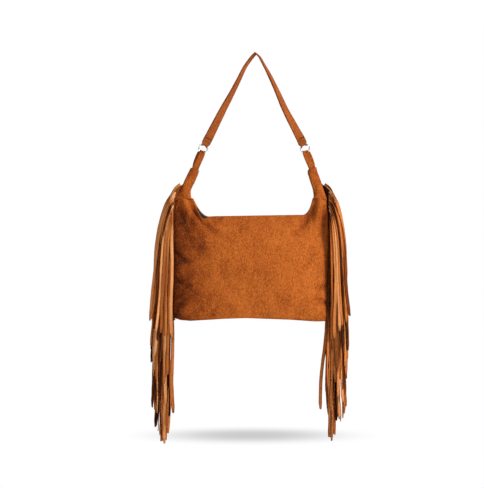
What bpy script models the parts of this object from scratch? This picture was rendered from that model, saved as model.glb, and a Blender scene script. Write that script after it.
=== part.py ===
"""Fringed suede shoulder bag, hung from the bend of its strap.

Units are metres, +Z up, and the front faces -Y. The origin is the underside
of the strap's bend, where a hook or a shoulder carries the bag.
"""

import math

import bmesh
import bpy
from mathutils import Matrix, Vector

# Clearance between pieces that touch
GAP = 0.0003

# Heights, from the strap's bend down
STRAP_DROP = 0.2055
TAB_DROP = 0.0435
HORN_LENGTH = 0.066
MOUTH_DROP = 0.039
BODY_HEIGHT = 0.230

# Half width of the body, and how far in from it the pieces above lie
BODY_HALF_WIDTH = 0.1735
NECK_INSET = 0.025
HORN_LEAN = 0.0185
TAB_LEAN = 0.018
MOUTH_INSET = 0.0725

# The body hangs a little to the left of the strap's bend
RING_SHIFT = -0.004
BODY_SHIFT = -0.011

# Suede shell
WALL = 0.0018
BASE_HALF_DEPTH = 0.0245
BELLY = 0.018
MOUTH_HALF_DEPTH = 0.005
SIDE_SLOPE = 0.030
NECK_HALF_WIDTH = 0.016
NECK_HALF_DEPTH = 0.0085
HORN_TOP_HALF_WIDTH = 0.0100
HORN_TOP_HALF_DEPTH = 0.0042
LINING_WALL = 0.0005
LINING_CLEARANCE = 0.0006
POCKET_WIDTH = 0.120
POCKET_HEIGHT = 0.090
POCKET_DROP = 0.045

# Rings and the loops that hold them
RING_RADIUS = 0.0095
RING_WIRE = 0.0015
LOOP_HALF_WIDTH = 0.0065
LOOP_WALL = 0.0015
TAB_HALF_WIDTH = 0.0070
TAB_END_HALF_WIDTH = 0.0058
TAB_HALF_THICKNESS = 0.0016
TAB_INSERT = 0.014

# Strap
STRAP_HALF_WIDTH = 0.010
STRAP_HALF_THICKNESS = 0.0016
BEND_RADIUS = 0.010

# Fringe
STRIPS = 24
STRIP_WIDTH = 0.0075
STRIP_LENGTH = 0.280
STRIP_THICKNESS = 0.0012
HEADER_DEPTH = 0.005
FRINGE_TOP_DROP = 0.0326
FRINGE_REACH = 0.038
FRINGE_HALF_DEPTH = 0.030
FRINGE_LAYER = 0.0040
LAYER_PITCH = 0.0098
FRINGE_FLARE = 0.008
DROOP = 0.040
SPREAD = 0.012
TURN = 0.0175

# Zip
ZIP_RECESS = 0.014
ZIP_END_ROOM = 0.005
TAPE_THICKNESS = 0.0008
TOOTH_HALF_GAP = 0.0006
TOOTH_WIDTH = 0.0022
TOOTH_HALF_HEIGHT = 0.0012
STOP_LENGTH = 0.0025
SLIDER_LENGTH = 0.011
SLIDER_PLATE = 0.0010
SLIDER_LIP = 0.0010
SLIDER_WEB = 0.0003
SLIDER_END_ROOM = 0.003
PULL_LENGTH = 0.028
PULL_HALF_WIDTH = 0.00275
PULL_THICKNESS = 0.0012
PULL_BAR = 0.0012
PULL_EYE_LENGTH = 0.0055
BAIL_HALF_THICKNESS = 0.0006
BAIL_OPENING = 0.0034
BAIL_POST = 0.0010
BAIL_HEIGHT = 0.0024

# Worked out from the sizes above
NECK_HALF_SPAN = BODY_HALF_WIDTH - NECK_INSET
HORN_TOP_HALF_SPAN = NECK_HALF_SPAN - HORN_LEAN
RING_HALF_SPAN = HORN_TOP_HALF_SPAN - TAB_LEAN
MOUTH_HALF_WIDTH = BODY_HALF_WIDTH - MOUTH_INSET
ZIP_HALF_LENGTH = MOUTH_HALF_WIDTH - ZIP_END_ROOM
RING_Z = -STRAP_DROP
HORN_TOP_Z = RING_Z - TAB_DROP
FRINGE_TOP_Z = HORN_TOP_Z - FRINGE_TOP_DROP
NECK_Z = HORN_TOP_Z - HORN_LENGTH
MOUTH_Z = NECK_Z - MOUTH_DROP
BASE_Z = MOUTH_Z - BODY_HEIGHT
ZIP_Z = MOUTH_Z - ZIP_RECESS
NECK_OUTER = NECK_HALF_SPAN + NECK_HALF_WIDTH
NECK_INNER = NECK_HALF_SPAN - NECK_HALF_WIDTH
SEAM_HALF = WALL + GAP / 2

# Shapes, as powers and shares: how the necks sweep up, the body sags and its corners round,
# how much more than its wall a slanted panel takes up in depth, and how the strap turns
NECK_SWEEP = 2.4
SAG = 1.5
BASE_SQUARENESS = 6.0
BODY_SQUARENESS = 2.6
EDGE_ROUNDNESS = 0.55
LINING_SLANT = 1.3
TAPE_SLANT = 1.15
STRAP_TURN = 1.8
STRAP_EASE = 0.14

COLLECTION = "fringed_suede_bag"
CUTTERS = "cutters"
SIDES = (("left", -1), ("right", 1))
FACES = (("front", -1), ("back", 1))

# Finishes: linear colour, roughness, metallic
SUEDE = (0.42, 0.13, 0.035), 0.95, 0.0
SUEDE_DARK = (0.30, 0.085, 0.022), 0.95, 0.0
SUEDE_REVERSE = (0.62, 0.30, 0.11), 0.95, 0.0
NICKEL = (0.80, 0.80, 0.82), 0.15, 1.0
ZIP_TAPE = (0.010, 0.014, 0.016), 0.85, 0.0
ZIP_METAL = (0.35, 0.34, 0.33), 0.35, 1.0
LINING = (0.020, 0.022, 0.024), 0.80, 0.0


def smooth_step(value, low, high):
    """0 below low, 1 above high and a smooth rise between."""
    t = min(max((value - low) / (high - low), 0.0), 1.0)
    return t * t * (3 - 2 * t)


def centre_x(z):
    """The bag's centre line, which leans from the rings to the body."""
    t = min(max((HORN_TOP_Z - z) / HORN_LENGTH, 0.0), 1.0)
    return RING_SHIFT + (BODY_SHIFT - RING_SHIFT) * t


def horn_section(z):
    """Half span of the horn's centre, its half width and its half depth at a height."""
    t = min(max((HORN_TOP_Z - z) / HORN_LENGTH, 0.0), 1.0)
    span = HORN_TOP_HALF_SPAN + (NECK_HALF_SPAN - HORN_TOP_HALF_SPAN) * t
    flare = 0.3 * t + 0.7 * t**3
    width = HORN_TOP_HALF_WIDTH + (NECK_HALF_WIDTH - HORN_TOP_HALF_WIDTH) * flare
    depth = HORN_TOP_HALF_DEPTH + (NECK_HALF_DEPTH - HORN_TOP_HALF_DEPTH) * t
    return span, width, depth


def side_span(z):
    """Half span of the side seam, from the horn's outer edge down to the base."""
    if z > NECK_Z:
        span, width, _ = horn_section(z)
        return span + width
    settled = math.exp(-(NECK_Z - z) / SIDE_SLOPE)
    return BODY_HALF_WIDTH - (BODY_HALF_WIDTH - NECK_OUTER) * settled


def top_edge(u):
    """Height of the panel's top edge across the width: mouth, inner curve, neck."""
    across = abs(u) * NECK_OUTER
    reach = NECK_INNER - MOUTH_HALF_WIDTH
    q = min(max((across - MOUTH_HALF_WIDTH) / reach, 0.0), 1.0)
    return MOUTH_Z + MOUTH_DROP * q**NECK_SWEEP


def half_depth(u, z):
    """Half depth of the closed body at a share of its half width and a height."""
    u = min(abs(u), 1.0)
    h = min(max((z - BASE_Z) / BODY_HEIGHT, 0.0), 1.0)
    sagging = BASE_HALF_DEPTH + (MOUTH_HALF_DEPTH - BASE_HALF_DEPTH) * h**SAG
    middle = sagging + BELLY * math.sin(math.pi * h) - SEAM_HALF
    squareness = BASE_SQUARENESS + (BODY_SQUARENESS - BASE_SQUARENESS) * smooth_step(h, 0.0, 0.35)
    body = middle * (1 - u**squareness) ** EDGE_ROUNDNESS
    neck_centre = NECK_HALF_SPAN / NECK_OUTER
    neck_reach = NECK_HALF_WIDTH / NECK_OUTER
    offset = min(abs(u - neck_centre) / neck_reach, 1.0)
    neck = (NECK_HALF_DEPTH - SEAM_HALF) * math.sqrt(1 - offset**2)
    rising = smooth_step(z, MOUTH_Z - MOUTH_DROP, NECK_Z)
    rising *= smooth_step(u, 0.75 * neck_centre, NECK_INNER / NECK_OUTER)
    return SEAM_HALF + body * (1 - rising) + neck * rising


def material(name, finish):
    """A Principled material of one finish."""
    colour, roughness, metallic = finish
    made = bpy.data.materials.get(name) or bpy.data.materials.new(name)
    made.use_nodes = True
    shader = made.node_tree.nodes["Principled BSDF"]
    shader.inputs["Base Color"].default_value = (*colour, 1.0)
    shader.inputs["Roughness"].default_value = roughness
    shader.inputs["Metallic"].default_value = metallic
    made.diffuse_color = (*colour, 1.0)
    return made


def collection(name):
    """The named collection, linked to the scene."""
    made = bpy.data.collections.get(name) or bpy.data.collections.new(name)
    if name not in bpy.context.scene.collection.children:
        bpy.context.scene.collection.children.link(made)
    return made


def add_node(name, bm, finish, parent=None, smooth=40):
    """Turn a bmesh in world place into a named object."""
    mesh = bpy.data.meshes.new(name)
    bm.to_mesh(mesh)
    bm.free()
    mesh.shade_smooth()
    mesh.set_sharp_from_angle(angle=math.radians(smooth))
    node = bpy.data.objects.new(name, mesh)
    node.data.materials.append(material(name, finish))
    collection(COLLECTION).objects.link(node)
    node.parent = parent
    return node


def add_empty(name, location, parent=None):
    """An axis that moving pieces hang on."""
    axis = bpy.data.objects.new(name, None)
    axis.location = location
    axis.empty_display_size = 0.01
    collection(COLLECTION).objects.link(axis)
    axis.parent = parent
    return axis


def grid(rows, closed=False):
    """A sheet of quads through rows of points, closed across if asked."""
    bm = bmesh.new()
    made = [[bm.verts.new(point) for point in row] for row in rows]
    for low, high in zip(made, made[1:]):
        count = len(low) if closed else len(low) - 1
        for i in range(count):
            j = (i + 1) % len(low)
            bm.faces.new((low[i], low[j], high[j], high[i]))
    return bm


def thicken(bm, wall, inside):
    """Give an open sheet its wall, from its outer side towards a point inside."""
    bmesh.ops.recalc_face_normals(bm, faces=bm.faces)
    facing = sum(
        face.calc_area() * face.normal.dot(face.calc_center_median() - inside)
        for face in bm.faces
    )
    if facing < 0:
        bmesh.ops.reverse_faces(bm, faces=bm.faces)
    bmesh.ops.solidify(bm, geom=bm.faces[:], thickness=wall)
    bmesh.ops.recalc_face_normals(bm, faces=bm.faces)


def box(bm, low, high):
    """Add a box between two corners."""
    made = bmesh.ops.create_cube(bm, size=1.0)
    low, high = Vector(low), Vector(high)
    size = high - low
    bmesh.ops.scale(bm, verts=made["verts"], vec=size)
    bmesh.ops.translate(bm, verts=made["verts"], vec=(low + high) / 2)


def panel_columns():
    """Shares of the half width at which the panels have a column of points."""
    mouth = MOUTH_HALF_WIDTH / NECK_OUTER
    inner = NECK_INNER / NECK_OUTER
    half = [mouth * i / 6 for i in range(6)]
    half += [mouth + (inner - mouth) * i / 4 for i in range(4)]
    reach = (1 - inner) / 2
    half += [1 - reach - reach * math.cos(math.pi * i / 8) for i in range(9)]
    return [-u for u in reversed(half[1:])] + half


def make_panel(name, face):
    """Front or back panel, from the base seam to the mouth and both necks."""
    rows = []
    steps = 12
    for j in range(steps + 1):
        row = []
        for u in panel_columns():
            z = BASE_Z + (top_edge(u) - BASE_Z) * j / steps
            x = BODY_SHIFT + side_span(z) * u
            row.append((x, face * half_depth(u, z), z))
        rows.append(row)
    bm = grid(rows)
    thicken(bm, WALL, Vector((BODY_SHIFT, 0, (BASE_Z + MOUTH_Z) / 2)))
    for vert in bm.verts:
        vert.co.z = min(max(vert.co.z, BASE_Z), NECK_Z)
        vert.co.y = face * max(face * vert.co.y, GAP / 2)
    return add_node(name, bm, SUEDE)


def make_base():
    """Flat base panel under both panels' lower edges."""
    outline = []
    steps = 24
    for i in range(steps + 1):
        u = math.sin(math.pi * (i / steps - 0.5))
        x = BODY_SHIFT + side_span(BASE_Z) * u
        outline.append((x, half_depth(u, BASE_Z)))
    points = [(x, -y) for x, y in outline] + [(x, y) for x, y in reversed(outline)]
    bm = bmesh.new()
    bottom = BASE_Z - GAP - WALL
    face = bm.faces.new([bm.verts.new((x, y, bottom)) for x, y in points])
    made = bmesh.ops.extrude_face_region(bm, geom=[face])
    lifted = [e for e in made["geom"] if isinstance(e, bmesh.types.BMVert)]
    bmesh.ops.translate(bm, verts=lifted, vec=(0, 0, WALL))
    bmesh.ops.recalc_face_normals(bm, faces=bm.faces)
    return add_node("base_panel", bm, SUEDE_DARK)


def make_horn(name, side):
    """Rolled sleeve from the neck up to the tab."""
    rows = []
    steps, around = 8, 24
    low = NECK_Z + GAP
    for j in range(steps + 1):
        z = low + (HORN_TOP_Z - low) * j / steps
        span, width, depth = horn_section(z)
        squareness = 2 + 2 * j / steps
        row = []
        for i in range(around):
            angle = 2 * math.pi * i / around
            c, s = math.cos(angle), math.sin(angle)
            x = width * math.copysign(abs(c) ** (2 / squareness), c)
            y = depth * math.copysign(abs(s) ** (2 / squareness), s)
            row.append((centre_x(z) + side * span + x, y, z))
        rows.append(row)
    bm = grid(rows, closed=True)
    middle = (low + HORN_TOP_Z) / 2
    thicken(bm, WALL, Vector((centre_x(middle) + side * horn_section(middle)[0], 0, middle)))
    for vert in bm.verts:
        vert.co.z = max(vert.co.z, low)
    return add_node(name, bm, SUEDE)


def ribbon(rows):
    """A closed strap through rows of (centre, width vector, half width, half thickness)."""
    sections = []
    for i, (centre, wide, half_width, half_thickness) in enumerate(rows):
        before = rows[max(i - 1, 0)][0]
        after = rows[min(i + 1, len(rows) - 1)][0]
        along = (after - before).normalized()
        wide = (wide - along * wide.dot(along)).normalized()
        out = along.cross(wide)
        edge = half_width - 0.4 * half_thickness
        corners = ((edge, 1), (half_width, 0.5), (half_width, -0.5), (edge, -1))
        ring = [centre + wide * w + out * (half_thickness * t) for w, t in corners]
        ring += [centre - wide * w + out * (half_thickness * t) for w, t in reversed(corners)]
        sections.append(ring)
    bm = grid(sections, closed=True)
    ends = [e for e in bm.edges if e.is_boundary]
    bmesh.ops.holes_fill(bm, edges=ends, sides=0)
    bmesh.ops.recalc_face_normals(bm, faces=bm.faces)
    return bm


def loop_bore():
    """Radius of the round eye that clears the ring's curved wire across the loop."""
    inner = RING_RADIUS - RING_WIRE
    rise = RING_RADIUS + RING_WIRE - math.sqrt(inner**2 - LOOP_HALF_WIDTH**2)
    facet = math.cos(math.pi / 16)
    return (rise / 2 + GAP) / facet


def loop_offset():
    """Distance from a ring's centre to the middle of a loop's eye."""
    inner = RING_RADIUS - RING_WIRE
    return (RING_RADIUS + RING_WIRE + math.sqrt(inner**2 - LOOP_HALF_WIDTH**2)) / 2


def loop_rows(eye, up):
    """Rows that swell into the rounded fold about an eye, from the strap's side to its end."""
    outer = loop_bore() + LOOP_WALL
    rows = []
    start = math.asin(STRAP_HALF_THICKNESS / outer)
    steps = 9
    for i in range(steps + 1):
        angle = start + (math.pi - 1.6 * start) * i / steps
        centre = eye + Vector((0, 0, up * outer * math.cos(angle)))
        rows.append((centre, Vector((1, 0, 0)), LOOP_HALF_WIDTH, outer * math.sin(angle)))
    return rows


def cut_eyes(node, eyes):
    """Bore the round eye through each folded end, along X."""
    for i, eye in enumerate(eyes):
        bm = bmesh.new()
        bmesh.ops.create_cone(
            bm,
            cap_ends=True,
            segments=16,
            radius1=loop_bore(),
            radius2=loop_bore(),
            depth=4 * LOOP_HALF_WIDTH,
        )
        bmesh.ops.rotate(bm, verts=bm.verts, matrix=Matrix.Rotation(math.pi / 2, 3, "Y"))
        bmesh.ops.translate(bm, verts=bm.verts, vec=eye)
        mesh = bpy.data.meshes.new(f"{node.name}_eye_{i}")
        bm.to_mesh(mesh)
        bm.free()
        cutter = bpy.data.objects.new(mesh.name, mesh)
        cutter.hide_render = True
        cutter.display_type = "WIRE"
        collection(CUTTERS).objects.link(cutter)
        cut = node.modifiers.new("eye", "BOOLEAN")
        cut.operation = "DIFFERENCE"
        cut.object = cutter


def ring_centre(side):
    """Middle of a ring."""
    return Vector((RING_SHIFT + side * RING_HALF_SPAN, 0, RING_Z))


def strap_leg(side):
    """Rows of one strap leg, from the bend's side down to the fold round its ring."""
    eye = ring_centre(side) + Vector((0, 0, loop_offset()))
    fold = loop_rows(eye, 1)
    lean = math.atan2(abs(eye.x), STRAP_DROP)
    top = Vector((side * BEND_RADIUS * math.cos(lean), 0, 0))
    top.z = STRAP_HALF_THICKNESS - BEND_RADIUS + BEND_RADIUS * math.sin(lean)
    foot = fold[0][0]
    ease = STRAP_EASE
    slope = 1 / (1 - ease / 2)
    rows = []
    steps = 16
    for i in range(steps):
        t = i / steps
        past = max(t - (1 - ease), 0.0)
        advance = slope * (t - past**2 / (2 * ease))
        x = top.x + (foot.x - top.x) * advance
        z = top.z + (foot.z - top.z) * t
        twist = math.radians(90) * t**STRAP_TURN
        wide = Vector((math.sin(twist), math.cos(twist), 0))
        narrowing = smooth_step(t, 1 - STRAP_EASE, 1.0)
        half_width = STRAP_HALF_WIDTH + (LOOP_HALF_WIDTH - STRAP_HALF_WIDTH) * narrowing
        rows.append((Vector((x, 0, z)), wide, half_width, STRAP_HALF_THICKNESS))
    return rows + fold


def make_strap(parent):
    """Shoulder strap: two legs, the bend between them and a fold round each ring."""
    left, right = strap_leg(-1), strap_leg(1)
    start, end = left[0][0], right[0][0]
    middle = Vector((0, 0, STRAP_HALF_THICKNESS - BEND_RADIUS))
    from_angle = math.atan2(start.z - middle.z, start.x)
    to_angle = math.atan2(end.z - middle.z, end.x)
    bend = []
    steps = 10
    for i in range(1, steps):
        angle = from_angle + (to_angle - from_angle) * i / steps
        centre = middle + BEND_RADIUS * Vector((math.cos(angle), 0, math.sin(angle)))
        bend.append((centre, Vector((0, 1, 0)), STRAP_HALF_WIDTH, STRAP_HALF_THICKNESS))
    bm = ribbon(list(reversed(left)) + bend + right)
    node = add_node("strap", bm, SUEDE, parent)
    eyes = [ring_centre(side) + Vector((0, 0, loop_offset())) for _, side in SIDES]
    cut_eyes(node, eyes)
    return node


def make_tab(name, side, parent):
    """Folded tab from the ring down into the top of the horn."""
    eye = ring_centre(side) - Vector((0, 0, loop_offset()))
    fold = list(reversed(loop_rows(eye, -1)))
    top = fold[-1][0]
    mouth_x = centre_x(HORN_TOP_Z) + side * HORN_TOP_HALF_SPAN
    below = HORN_TOP_Z - TAB_INSERT
    low_x = centre_x(below) + side * horn_section(below)[0]
    slope = (low_x - mouth_x) / -TAB_INSERT
    rows = []
    steps = 10
    for i in range(1, steps + 1):
        t = i / steps
        z = top.z + (below - top.z) * t
        s = (top.z - z) / (top.z - HORN_TOP_Z)
        if s < 1:
            reach = mouth_x - top.x
            end_slope = slope * (HORN_TOP_Z - top.z)
            x = top.x + reach * (3 * s**2 - 2 * s**3) + end_slope * (s**3 - s**2)
        else:
            x = mouth_x + slope * (z - HORN_TOP_Z)
        swell = smooth_step(s, 0.0, 0.3) - smooth_step(s, 0.7, 1.0)
        half_width = LOOP_HALF_WIDTH + (TAB_HALF_WIDTH - LOOP_HALF_WIDTH) * max(swell, 0.0)
        half_width += (TAB_END_HALF_WIDTH - LOOP_HALF_WIDTH) * smooth_step(s, 0.7, 1.0)
        rows.append((Vector((x, 0, z)), Vector((1, 0, 0)), half_width, TAB_HALF_THICKNESS))
    node = add_node(name, ribbon(fold + rows), SUEDE, parent)
    cut_eyes(node, [eye])
    return node


def make_ring(name, side, parent):
    """Round wire ring, free to turn in its two loops."""
    bpy.ops.mesh.primitive_torus_add(
        major_segments=32,
        minor_segments=10,
        major_radius=RING_RADIUS,
        minor_radius=RING_WIRE,
    )
    made = bpy.context.object
    bm = bmesh.new()
    bm.from_mesh(made.data)
    bpy.data.objects.remove(made)
    bmesh.ops.rotate(bm, verts=bm.verts, matrix=Matrix.Rotation(math.pi / 2, 3, "X"))
    bmesh.ops.translate(bm, verts=bm.verts, vec=ring_centre(side))
    axis = add_empty(f"{name}_axis", ring_centre(side), parent)
    node = add_node(name, bm, NICKEL, smooth=80)
    node.parent = axis
    node.location = -ring_centre(side)
    return node


def hang_places():
    """Where each strip of a band hangs: layer radii and fan angle, outermost first."""
    places = []
    layer = 0
    while len(places) < STRIPS:
        inset = FRINGE_LAYER * layer
        reach = max(FRINGE_REACH - inset, FRINGE_LAYER)
        deep = max(FRINGE_HALF_DEPTH - inset * FRINGE_HALF_DEPTH / FRINGE_REACH, FRINGE_LAYER)
        quarter = math.pi / 2 * math.sqrt((reach**2 + deep**2) / 2)
        count = max(int(quarter / LAYER_PITCH), 1)
        for i in range(count):
            angle = math.radians(4) + math.radians(80) * (i + 0.5) / count
            places.append((reach, deep, angle))
        layer += 1
    return places[:STRIPS]


def strip_path(side, face, k, places):
    """Rows (centre, width vector) of one strip, by length from its header."""
    reach, deep, angle = places[k]
    pitch = (FRINGE_TOP_Z - BASE_Z - STRIP_WIDTH) / (STRIPS - 1)
    root_z = FRINGE_TOP_Z - STRIP_WIDTH / 2 - pitch * k
    root_y = GAP / 2 + STRIP_THICKNESS / 2
    root_x = side_span(root_z) + GAP + HEADER_DEPTH
    hang_x = BODY_HALF_WIDTH + HEADER_DEPTH + reach * math.cos(angle)
    hang_y = root_y + STRIP_WIDTH / 2 + deep * math.sin(angle)

    def place(drop):
        out = 1 - math.exp(-drop / DROOP)
        span = root_x + (hang_x - root_x) * out + FRINGE_FLARE * drop / STRIP_LENGTH
        y = root_y + (hang_y - root_y) * (1 - math.exp(-drop / SPREAD))
        z = root_z - drop
        return Vector((centre_x(root_z) + side * span, face * y, z))

    across = Vector((-side * reach * math.sin(angle), face * deep * math.cos(angle), 0))
    across.normalize()
    fine = 140
    step = STRIP_LENGTH / fine
    walked, drop = 0.0, 0.0
    rows = [(0.0, place(0.0), Vector((0, 0, 1)))]
    while walked < STRIP_LENGTH:
        ahead = place(drop + step)
        here = place(drop)
        share = min((STRIP_LENGTH - walked) / (ahead - here).length, 1.0)
        drop += step * share
        walked += (ahead - here).length * share
        if share < 1.0:
            walked = STRIP_LENGTH
        along = (ahead - here).normalized()
        turned = math.pi / 2 * (1 - math.exp(-drop / TURN))
        upright = Vector((0, 0, 1)) - along * along.z
        wide = upright.normalized() * math.cos(turned) + across * math.sin(turned)
        wide = (wide - along * wide.dot(along)).normalized()
        rows.append((walked, place(drop), wide))
    return rows


def pick_rows(rows):
    """The few rows of a strip that its curve needs."""
    shares = (0.0, 0.035, 0.075, 0.13, 0.21, 0.34, 0.58, 1.0)
    picked = []
    for share in shares:
        target = share * STRIP_LENGTH
        picked.append(min(rows, key=lambda row: abs(row[0] - target)))
    return picked


def make_fringe(name, side, face, parent):
    """One band of cut strips: a header along the side seam and the strips it carries."""
    places = hang_places()
    bm = bmesh.new()
    y = face * (GAP / 2 + STRIP_THICKNESS / 2)
    previous = None
    for k in range(STRIPS):
        rows = pick_rows(strip_path(side, face, k, places))
        root = rows[0][1]
        edges = []
        for end in (1, -1):
            z = root.z + end * STRIP_WIDTH / 2
            inner = Vector((centre_x(z) + side * (side_span(z) + GAP), y, z))
            outer = Vector((root.x, y, z))
            edges.append((bm.verts.new(inner), bm.verts.new(outer)))
        bm.faces.new((edges[0][0], edges[0][1], edges[1][1], edges[1][0]))
        if previous:
            bm.faces.new((previous[0], previous[1], edges[0][1], edges[0][0]))
        previous = edges[1]
        upper, lower = edges[0][1], edges[1][1]
        for _, centre, wide in rows[1:]:
            next_upper = bm.verts.new(centre + wide * STRIP_WIDTH / 2)
            next_lower = bm.verts.new(centre - wide * STRIP_WIDTH / 2)
            bm.faces.new((upper, next_upper, next_lower, lower))
            upper, lower = next_upper, next_lower
    node = add_node(name, bm, SUEDE_REVERSE if face > 0 else SUEDE, parent)
    wall = node.modifiers.new("leather", "SOLIDIFY")
    wall.thickness = STRIP_THICKNESS
    wall.offset = 0.0
    return node


def lining_point(u, z, face):
    """A point just inside the panels."""
    x = BODY_SHIFT + side_span(z) * u
    y = half_depth(u, z) - LINING_SLANT * WALL - LINING_CLEARANCE
    return Vector((x, face * max(y, LINING_CLEARANCE), z))


def make_lining():
    """Lining pouch, open at the top under the zip."""
    edge = 0.9
    across, steps = 14, 10
    low = BASE_Z + LINING_CLEARANCE
    high = ZIP_Z - TOOTH_HALF_HEIGHT - SLIDER_PLATE - LINING_CLEARANCE
    rows = []
    for j in range(steps + 1):
        z = low + (high - low) * j / steps
        front = [lining_point(-edge + 2 * edge * i / across, z, -1) for i in range(across + 1)]
        back = [lining_point(edge - 2 * edge * i / across, z, 1) for i in range(across + 1)]
        rows.append(front + back)
    bm = grid(rows, closed=True)
    bottom = [e for e in bm.edges if e.is_boundary and e.verts[0].co.z < low + GAP]
    bmesh.ops.holes_fill(bm, edges=bottom, sides=0)
    thicken(bm, LINING_WALL, Vector((BODY_SHIFT, 0, (low + high) / 2)))
    return add_node("lining", bm, LINING)


def make_pocket():
    """Slip pocket sewn to the back of the lining."""
    rows = []
    across, steps = 8, 5
    top = ZIP_Z - POCKET_DROP
    inset = LINING_WALL + GAP + LINING_WALL / 2
    for j in range(steps + 1):
        z = top - POCKET_HEIGHT + POCKET_HEIGHT * j / steps
        row = []
        for i in range(across + 1):
            u = POCKET_WIDTH / side_span(z) * (i / across - 0.5)
            row.append(lining_point(u, z, 1) - Vector((0, inset, 0)))
        rows.append(row)
    bm = grid(rows)
    node = add_node("inner_pocket", bm, LINING)
    wall = node.modifiers.new("cloth", "SOLIDIFY")
    wall.thickness = LINING_WALL
    wall.offset = 0.0
    return node


def make_zip(parent):
    """Closed zip below the mouth: two tapes, two rows of teeth and two end stops."""
    length = ZIP_HALF_LENGTH + 2 * STOP_LENGTH
    inner = TOOTH_HALF_GAP + TOOTH_WIDTH + GAP
    steps = 16
    for label, face in FACES:
        rows = []
        for i in range(steps + 1):
            x = -length + 2 * length * i / steps
            outer = half_depth(x / side_span(ZIP_Z), ZIP_Z) - TAPE_SLANT * WALL - GAP
            points = [(BODY_SHIFT + x, face * y, ZIP_Z) for y in (inner, outer)]
            rows.append(points)
        node = add_node(f"zip_tape_{label}", grid(rows), ZIP_TAPE, parent)
        wall = node.modifiers.new("cloth", "SOLIDIFY")
        wall.thickness = TAPE_THICKNESS
        wall.offset = 0.0
        bm = bmesh.new()
        near, far = face * TOOTH_HALF_GAP, face * (TOOTH_HALF_GAP + TOOTH_WIDTH)
        low = (BODY_SHIFT - ZIP_HALF_LENGTH, min(near, far), ZIP_Z - TOOTH_HALF_HEIGHT)
        high = (BODY_SHIFT + ZIP_HALF_LENGTH, max(near, far), ZIP_Z + TOOTH_HALF_HEIGHT)
        box(bm, low, high)
        add_node(f"zip_teeth_{label}", bm, ZIP_METAL, parent)
    for label, side in SIDES:
        bm = bmesh.new()
        near = BODY_SHIFT + side * (ZIP_HALF_LENGTH + GAP)
        far = near + side * STOP_LENGTH
        wide = TOOTH_HALF_GAP + TOOTH_WIDTH
        low = (min(near, far), -wide, ZIP_Z - TOOTH_HALF_HEIGHT)
        high = (max(near, far), wide, ZIP_Z + TOOTH_HALF_HEIGHT)
        box(bm, low, high)
        add_node(f"zip_stop_{label}", bm, ZIP_METAL, parent)


def slider_middle():
    """Middle of the slider when the zip is closed."""
    travel = ZIP_HALF_LENGTH - SLIDER_LENGTH / 2 - SLIDER_END_ROOM
    return Vector((BODY_SHIFT + travel, 0, ZIP_Z))


def pull_pivot():
    """The pull's axis, in the middle of the bail's opening."""
    rise = TOOTH_HALF_HEIGHT + GAP + SLIDER_PLATE + BAIL_HEIGHT / 2
    return slider_middle() + Vector((0, 0, rise))


def union(node, parts):
    """Join boxes into one solid with Boolean unions."""
    for i, (low, high) in enumerate(parts):
        bm = bmesh.new()
        box(bm, low, high)
        mesh = bpy.data.meshes.new(f"{node.name}_part_{i}")
        bm.to_mesh(mesh)
        bm.free()
        tool = bpy.data.objects.new(mesh.name, mesh)
        tool.hide_render = True
        tool.display_type = "WIRE"
        collection(CUTTERS).objects.link(tool)
        join = node.modifiers.new("join", "BOOLEAN")
        join.operation = "UNION"
        join.object = tool


def make_slider(parent):
    """Slider: two plates about the teeth, the web between the rows, and the bail on top."""
    middle = slider_middle()
    half = SLIDER_LENGTH / 2
    wide = TOOTH_HALF_GAP + TOOTH_WIDTH + SLIDER_LIP
    inside = TOOTH_HALF_HEIGHT + GAP
    outside = inside + SLIDER_PLATE
    bm = bmesh.new()
    box(bm, middle + Vector((-half, -wide, inside)), middle + Vector((half, wide, outside)))
    axis = add_empty("zip_slider_axis", middle, parent)
    node = add_node("zip_slider", bm, ZIP_METAL)
    node.parent = axis
    node.location = -middle
    sink = SLIDER_PLATE / 2
    reach = BAIL_OPENING / 2
    parts = [
        ((-half, -wide, -outside), (half, wide, -inside)),
        ((-half / 2, -SLIDER_WEB, -inside - sink), (half / 2, SLIDER_WEB, inside + sink)),
    ]
    thick = BAIL_HALF_THICKNESS
    top = outside + BAIL_HEIGHT
    for end in (-1, 1):
        near, far = sorted((end * reach, end * (reach + BAIL_POST)))
        parts.append(((near, -thick, outside - sink), (far, thick, top + BAIL_POST / 2)))
    bridge = reach + BAIL_POST / 2
    parts.append(((-bridge, -thick, top), (bridge, thick, top + BAIL_POST)))
    union(node, [(middle + Vector(low), middle + Vector(high)) for low, high in parts])
    return axis


def make_pull(parent_axis):
    """Flat pull with an eye round the bail's bridge, lying along the teeth."""
    pivot = pull_pivot()
    bar, thick = PULL_BAR / 2, PULL_THICKNESS / 2
    eye = PULL_EYE_LENGTH
    hole = BAIL_HALF_THICKNESS + 2 * GAP
    bm = bmesh.new()
    box(bm, pivot + Vector((-PULL_LENGTH, -PULL_HALF_WIDTH, -thick)),
        pivot + Vector((bar, PULL_HALF_WIDTH, thick)))
    axis = add_empty("zip_pull_axis", pivot - slider_middle(), parent_axis)
    node = add_node("zip_pull", bm, ZIP_METAL)
    node.parent = axis
    node.location = -pivot
    bm = bmesh.new()
    box(bm, pivot + Vector((-eye, -hole, -4 * thick)), pivot + Vector((-bar, hole, 4 * thick)))
    mesh = bpy.data.meshes.new("zip_pull_eye")
    bm.to_mesh(mesh)
    bm.free()
    cutter = bpy.data.objects.new(mesh.name, mesh)
    cutter.hide_render = True
    cutter.display_type = "WIRE"
    collection(CUTTERS).objects.link(cutter)
    cut = node.modifiers.new("eye", "BOOLEAN")
    cut.operation = "DIFFERENCE"
    cut.object = cutter
    return node


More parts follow.
